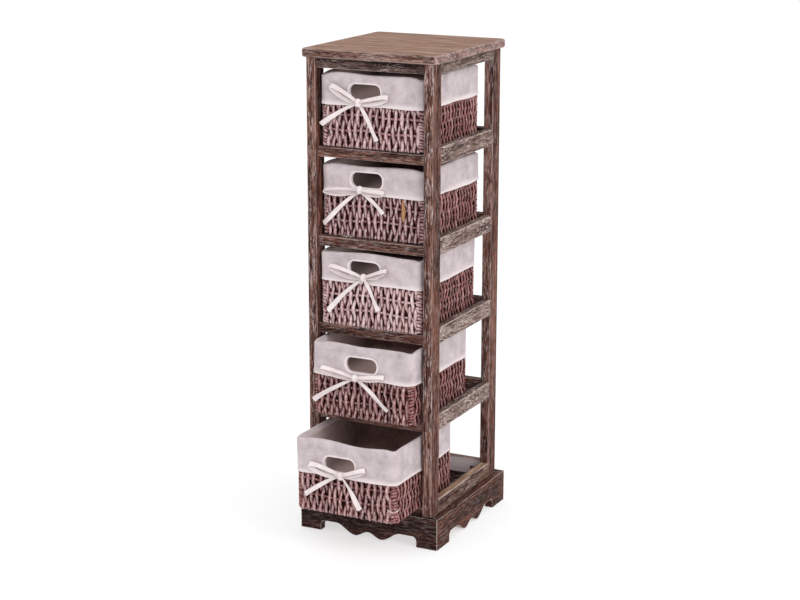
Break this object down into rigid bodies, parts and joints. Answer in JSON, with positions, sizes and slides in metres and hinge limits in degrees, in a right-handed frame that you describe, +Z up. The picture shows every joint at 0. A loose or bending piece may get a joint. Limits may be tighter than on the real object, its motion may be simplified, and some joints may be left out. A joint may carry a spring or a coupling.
{
  "type": "basket shelf",
  "caption": "Narrow free-standing wooden shelf frame with a scalloped plinth and lined wicker baskets that slide out like drawers.",
  "frame": {"origin": "on the floor, at the middle of the timber frame's width and depth", "axes": "+Z up, +X to the viewer's right when facing the baskets, +Y to the back; the baskets slide out along -Y"},
  "size_m": [0.282, 0.3977, 0.9],
  "materials": {
    "wood": "brushed and stained dark brown, with grey-pink pigment in the grain",
    "wicker": "twisted strands, dull",
    "linen": "plain woven, matte",
    "ribbon": "plain woven, matte",
    "bracket_steel": "black, satin",
    "beech": "plain"
  },
  "bodies": {
    "frame": {"top_panel": "wood", "post_front_left": "wood", "post_front_right": "wood", "post_back_left": "wood", "post_back_right": "wood", "top_rail_front": "wood", "top_rail_back": "wood", "top_rail_left": "wood", "top_rail_right": "wood", "tier_1_rail_front": "wood", "tier_1_rail_back": "wood", "tier_1_rail_left": "wood", "tier_1_rail_right": "wood", "tier_2_rail_front": "wood", "tier_2_rail_back": "wood", "tier_2_rail_left": "wood", "tier_2_rail_right": "wood", "tier_3_rail_front": "wood", "tier_3_rail_back": "wood", "tier_3_rail_left": "wood", "tier_3_rail_right": "wood", "tier_4_rail_front": "wood", "tier_4_rail_back": "wood", "tier_4_rail_left": "wood", "tier_4_rail_right": "wood", "tier_5_rail_front": "wood", "tier_5_rail_back": "wood", "tier_5_rail_left": "wood", "tier_5_rail_right": "wood", "tier_1_runners": "wood", "tier_2_runners": "wood", "tier_3_runners": "wood", "tier_4_runners": "wood", "tier_5_runners": "wood", "plinth_front": "wood", "plinth_back": "wood", "plinth_left": "wood", "plinth_right": "wood", "rail_dowels": "beech", "corner_brackets": "bracket_steel"},
    "basket_1": {"basket_1_weave": "wicker", "basket_1_liner": "linen", "basket_1_bow": "ribbon"},
    "basket_2": {"basket_2_weave": "wicker", "basket_2_liner": "linen", "basket_2_bow": "ribbon"},
    "basket_3": {"basket_3_weave": "wicker", "basket_3_liner": "linen", "basket_3_bow": "ribbon"},
    "basket_4": {"basket_4_weave": "wicker", "basket_4_liner": "linen", "basket_4_bow": "ribbon"},
    "basket_5": {"basket_5_weave": "wicker", "basket_5_liner": "linen", "basket_5_bow": "ribbon"}
  },
  "joints": [
    {"name": "basket_1_slide", "type": "slide", "parent": "frame", "child": "basket_1", "axis": [0, -1, 0], "range_m": [-0.016, 0.184]},
    {"name": "basket_2_slide", "type": "slide", "parent": "frame", "child": "basket_2", "axis": [0, -1, 0], "range_m": [-0.012, 0.188]},
    {"name": "basket_3_slide", "type": "slide", "parent": "frame", "child": "basket_3", "axis": [0, -1, 0], "range_m": [-0.024, 0.176]},
    {"name": "basket_4_slide", "type": "slide", "parent": "frame", "child": "basket_4", "axis": [0, -1, 0], "range_m": [-0.057, 0.143]},
    {"name": "basket_5_slide", "type": "slide", "parent": "frame", "child": "basket_5", "axis": [0, -1, 0], "range_m": [-0.124, 0.076]}
  ]
}
